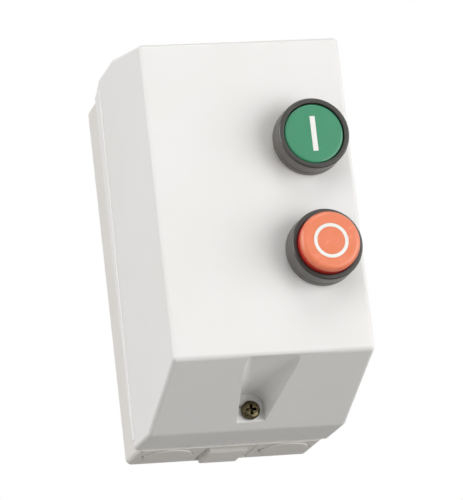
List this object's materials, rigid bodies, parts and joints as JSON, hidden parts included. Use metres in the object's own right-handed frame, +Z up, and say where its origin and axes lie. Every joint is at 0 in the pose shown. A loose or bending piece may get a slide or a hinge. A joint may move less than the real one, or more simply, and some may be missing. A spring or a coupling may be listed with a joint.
{
  "type": "magnetic motor starter",
  "caption": "Wall-mounted plastic enclosure with a hinged cover, green start and red stop push-buttons, holding a contactor on a rail and a thermal overload relay.",
  "frame": {"origin": "middle of the back face, on the wall", "axes": "-Y is the front, away from the wall; +Z is up; +X is to the right of someone facing the front"},
  "size_m": [0.086, 0.1256, 0.1623],
  "materials": {
    "housing": "satin light grey moulded plastic",
    "cover": "satin pale grey moulded plastic",
    "gasket": "soft black rubber",
    "bezel": "satin dark grey plastic",
    "nut": "black plastic",
    "green_cap": "smooth green plastic",
    "red_cap": "smooth red plastic",
    "mark": "white inlaid plastic",
    "push_rod": "natural plastic",
    "spring_steel": "drawn spring wire",
    "yellow_zinc": "yellow passivated zinc on steel",
    "brass": "turned brass",
    "zinc": "bright zinc plate on steel",
    "device_grey": "dark grey moulded device body",
    "device_light": "white moulded device front",
    "lamination": "stacked silicon steel sheet",
    "bobbin": "natural nylon",
    "copper": "enamelled copper wire",
    "silver_brass": "brass strip with silver tips",
    "bimetal": "rolled bimetal strip",
    "heater": "woven glass sleeve",
    "trip": "amber moulded plastic",
    "carrier": "black moulded plastic",
    "dial": "white plastic",
    "blue": "blue plastic",
    "relay_red": "red plastic",
    "clear": "clear polycarbonate",
    "wire": "black insulated wire"
  },
  "bodies": {
    "housing": {"base_housing": "housing", "threaded_insert": "brass", "earth_plate": "brass", "earth_screw": "yellow_zinc", "mounting_rail": "zinc", "rail_screws": "zinc", "contactor_base": "device_grey", "fixed_core": "lamination", "coil_bobbin": "bobbin", "coil_winding": "copper", "coil_terminals": "silver_brass", "return_spring": "spring_steel", "contactor_body": "device_grey", "contactor_front": "device_light", "line_contacts": "silver_brass", "load_contacts": "silver_brass", "clamp_plates": "zinc", "clamp_screws": "zinc", "relay_body": "device_grey", "relay_prongs": "brass", "bimetal_strips": "bimetal", "heater_sleeves": "heater", "output_strips": "silver_brass", "output_screws": "zinc", "relay_cover": "device_light", "reset_spring": "spring_steel", "relay_stop_spring": "spring_steel", "start_block": "device_light", "start_block_terminals": "zinc", "start_block_spring": "spring_steel", "control_wires": "wire"},
    "rail_clip": {"rail_clip": "trip"},
    "cover": {"front_cover": "cover", "cover_gasket": "gasket", "start_bezel": "bezel", "start_seal": "gasket", "start_lock_nut": "nut", "start_spring": "spring_steel", "stop_bezel": "bezel", "stop_seal": "gasket", "stop_lock_nut": "nut", "stop_spring": "spring_steel"},
    "cover_screw": {"cover_screw": "yellow_zinc", "screw_seal": "gasket"},
    "start_button": {"start_cap": "green_cap", "start_mark": "mark", "start_plunger": "push_rod"},
    "stop_button": {"stop_cap": "red_cap", "stop_mark": "mark", "stop_rod": "push_rod"},
    "start_contact": {"start_block_plunger": "green_cap"},
    "relay_stop": {"relay_stop": "relay_red"},
    "relay_reset": {"reset_button": "blue"},
    "relay_dial": {"current_dial": "dial"},
    "relay_flap": {"dial_flap": "clear"},
    "relay_trip": {"trip_bar": "trip"},
    "armature": {"armature": "lamination", "contact_carrier": "carrier", "bridge_springs": "spring_steel"},
    "bridges": {"contact_bridges": "silver_brass"}
  },
  "joints": [
    {"name": "cover_swing", "type": "hinge", "parent": "housing", "child": "cover", "pos_m": [0, -0.0246, 0.0766], "axis": [-1, 0, 0], "range_deg": [0, 70]},
    {"name": "cover_screw_turn", "type": "hinge", "parent": "cover", "child": "cover_screw", "pos_m": [0, -0.06, -0.0729], "axis": [0, -1, 0], "continuous": true},
    {"name": "start_press", "type": "slide", "parent": "cover", "child": "start_button", "axis": [0, 1, 0], "range_m": [0, 0.004], "stiffness_N_per_m": 600, "springref_m": -0.003, "deforming": ["start_spring"]},
    {"name": "stop_press", "type": "slide", "parent": "cover", "child": "stop_button", "axis": [0, 1, 0], "range_m": [0, 0.004], "stiffness_N_per_m": 600, "springref_m": -0.003, "deforming": ["stop_spring"]},
    {"name": "start_contact_close", "type": "slide", "parent": "housing", "child": "start_contact", "axis": [0, 1, 0], "range_m": [0, 0.004], "stiffness_N_per_m": 300, "springref_m": -0.002, "deforming": ["start_block_spring"]},
    {"name": "relay_stop_press", "type": "slide", "parent": "housing", "child": "relay_stop", "axis": [0, 1, 0], "range_m": [0, 0.004], "stiffness_N_per_m": 300, "springref_m": -0.002, "deforming": ["relay_stop_spring"]},
    {"name": "relay_reset_press", "type": "slide", "parent": "housing", "child": "relay_reset", "axis": [0, 1, 0], "range_m": [0, 0.0025], "stiffness_N_per_m": 300, "springref_m": -0.002, "deforming": ["reset_spring"]},
    {"name": "relay_dial_turn", "type": "hinge", "parent": "housing", "child": "relay_dial", "pos_m": [-0.003, -0.07, -0.025], "axis": [0, -1, 0], "range_deg": [-135, 135]},
    {"name": "relay_flap_open", "type": "hinge", "parent": "housing", "child": "relay_flap", "pos_m": [-0.0115, -0.0731, -0.02675], "axis": [0, 0, -1], "range_deg": [0, 110]},
    {"name": "relay_trip_slide", "type": "slide", "parent": "housing", "child": "relay_trip", "axis": [0, -1, 0], "range_m": [0, 0.0015], "stiffness_N_per_m": 200, "springref_m": -0.001},
    {"name": "contactor_pull_in", "type": "slide", "parent": "housing", "child": "armature", "axis": [0, 1, 0], "range_m": [0, 0.0045], "stiffness_N_per_m": 1500, "springref_m": -0.003, "deforming": ["return_spring"]},
    {"name": "bridge_close", "type": "slide", "parent": "armature", "child": "bridges", "axis": [0, 1, 0], "range_m": [-0.0018, 0], "deforming": ["bridge_springs"]},
    {"name": "rail_clip_release", "type": "slide", "parent": "housing", "child": "rail_clip", "axis": [0, 0, -1], "range_m": [0, 0.0044], "stiffness_N_per_m": 500, "springref_m": -0.002}
  ],
  "couplings": [
    {"joint": "start_contact_close", "follows": "start_press", "ratio": 1},
    {"joint": "relay_stop_press", "follows": "stop_press", "ratio": 1},
    {"joint": "bridge_close", "follows": "contactor_pull_in", "ratio": -0.4}
  ]
}
